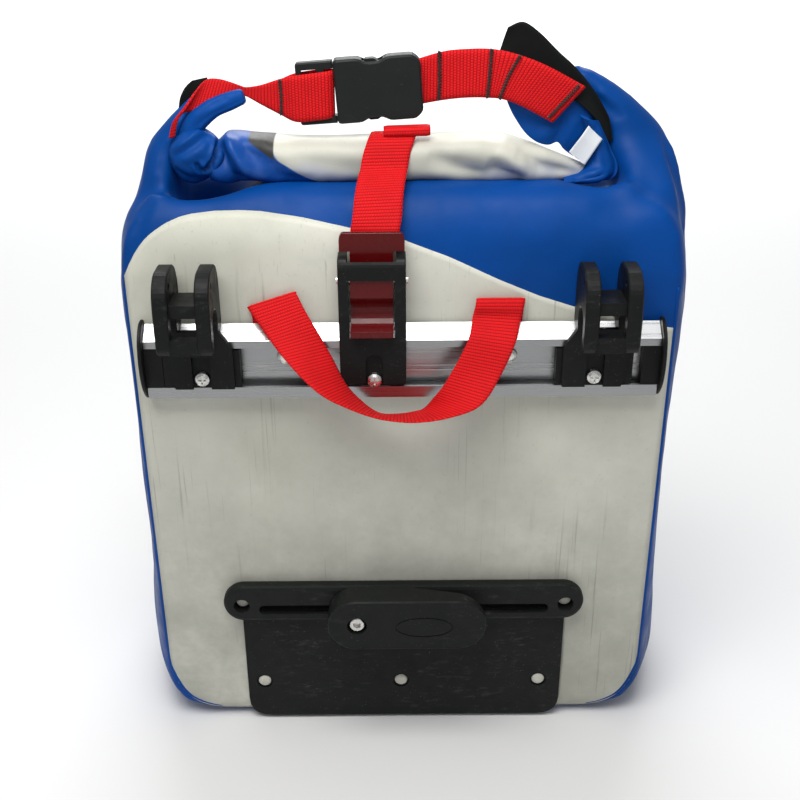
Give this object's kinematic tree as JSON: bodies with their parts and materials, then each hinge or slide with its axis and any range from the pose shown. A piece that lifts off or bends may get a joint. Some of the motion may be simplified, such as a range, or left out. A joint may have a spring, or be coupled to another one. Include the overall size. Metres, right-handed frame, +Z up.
{
  "type": "pannier bag",
  "caption": "Roll-top bicycle pannier with a clamp rail, sliding hooks, a sprung centre lock, a folding carry handle and a swivelling lower stay arm.",
  "frame": {"origin": "centre of the bounding box's bottom face, where the bag stands", "axes": "+Z up from the bag's base to its rolled mouth; -Y is the rack side, with the hooks; +X runs along the rail, to the right as seen from the rack side"},
  "size_m": [0.348, 0.194, 0.4586],
  "materials": {
    "tarp_white": "coated tarpaulin, satin, scuffed",
    "tarp_blue": "coated tarpaulin, satin, creased",
    "webbing_red": "woven nylon webbing",
    "webbing_black": "woven band with coated face",
    "label_white": "satin woven tape",
    "plastic_black": "moulded, satin, scratched",
    "buckle_black": "moulded acetal, semi-gloss",
    "pawl_maroon": "moulded, semi-gloss",
    "rivet_white": "moulded, dull",
    "board_grey": "extruded sheet",
    "rail_aluminium": "extruded, satin anodised",
    "zinc_steel": "zinc plated, dull"
  },
  "bodies": {
    "bag": {"front_panel": "tarp_white", "back_panel": "tarp_white", "side_gusset": "tarp_blue", "inner_stiffener": "board_grey", "roll_closure": "tarp_white", "left_roll_end": "tarp_blue", "right_roll_end": "tarp_blue", "left_mouth_band": "webbing_black", "right_mouth_band": "webbing_black", "care_label": "label_white", "buckle_female": "buckle_black", "buckle_male": "buckle_black", "closure_strap_left": "webbing_red", "closure_strap_right": "webbing_red", "rail": "rail_aluminium", "rail_cap_left": "plastic_black", "rail_cap_right": "plastic_black", "rail_rivet_left": "zinc_steel", "rail_rivet_right": "zinc_steel", "handle_anchor_left": "webbing_red", "handle_anchor_right": "webbing_red", "lock_housing": "plastic_black", "lock_pin": "zinc_steel", "lock_spring": "zinc_steel", "lock_screw": "zinc_steel", "lock_nut": "zinc_steel", "pull_strap": "webbing_red", "backing_plate": "plastic_black", "lower_track": "plastic_black", "track_rivet_left": "rivet_white", "track_rivet_right": "rivet_white", "plate_rivet_left": "rivet_white", "plate_rivet_middle": "rivet_white", "plate_rivet_right": "rivet_white"},
    "hook_left": {"hook_left": "plastic_black", "hook_screw_left": "zinc_steel", "hook_nut_left": "zinc_steel"},
    "hook_right": {"hook_right": "plastic_black", "hook_screw_right": "zinc_steel", "hook_nut_right": "zinc_steel"},
    "pawl": {"lock_pawl": "pawl_maroon"},
    "handle": {"carry_handle": "webbing_red"},
    "arm_slider": {"arm_bolt": "zinc_steel", "arm_nut": "zinc_steel"},
    "stay_arm": {"stay_arm": "plastic_black"},
    "prong_upper": {"buckle_prong_upper": "buckle_black"},
    "prong_lower": {"buckle_prong_lower": "buckle_black"}
  },
  "joints": [
    {"name": "hook_left_slide", "type": "slide", "parent": "bag", "child": "hook_left", "axis": [1, 0, 0], "range_m": [0, 0.01]},
    {"name": "hook_right_slide", "type": "slide", "parent": "bag", "child": "hook_right", "axis": [1, 0, 0], "range_m": [-0.018, 0.005]},
    {"name": "latch_pivot", "type": "hinge", "parent": "bag", "child": "pawl", "pos_m": [-0.017, -0.069, 0.328], "axis": [1, 0, 0], "range_deg": [0, 18], "stiffness_Nm_per_rad": 0.08, "springref_deg": -20.05},
    {"name": "handle_fold", "type": "hinge", "parent": "bag", "child": "handle", "pos_m": [0, -0.0666, 0.309], "axis": [-1, 0, 0], "range_deg": [0, 135]},
    {"name": "arm_slide", "type": "slide", "parent": "bag", "child": "arm_slider", "axis": [1, 0, 0], "range_m": [-0.058, 0.118]},
    {"name": "arm_swivel", "type": "hinge", "parent": "arm_slider", "child": "stay_arm", "pos_m": [-0.03, -0.08, 0.1003], "axis": [0, 1, 0], "continuous": true},
    {"name": "prong_upper_flex", "type": "hinge", "parent": "bag", "child": "prong_upper", "pos_m": [-0.0315, -0.01, 0.4351], "axis": [0, 1, 0], "range_deg": [0, 6.5], "stiffness_Nm_per_rad": 0.3},
    {"name": "prong_lower_flex", "type": "hinge", "parent": "bag", "child": "prong_lower", "pos_m": [-0.0297, -0.01, 0.4087], "axis": [0, -1, 0], "range_deg": [0, 6.5], "stiffness_Nm_per_rad": 0.3}
  ]
}
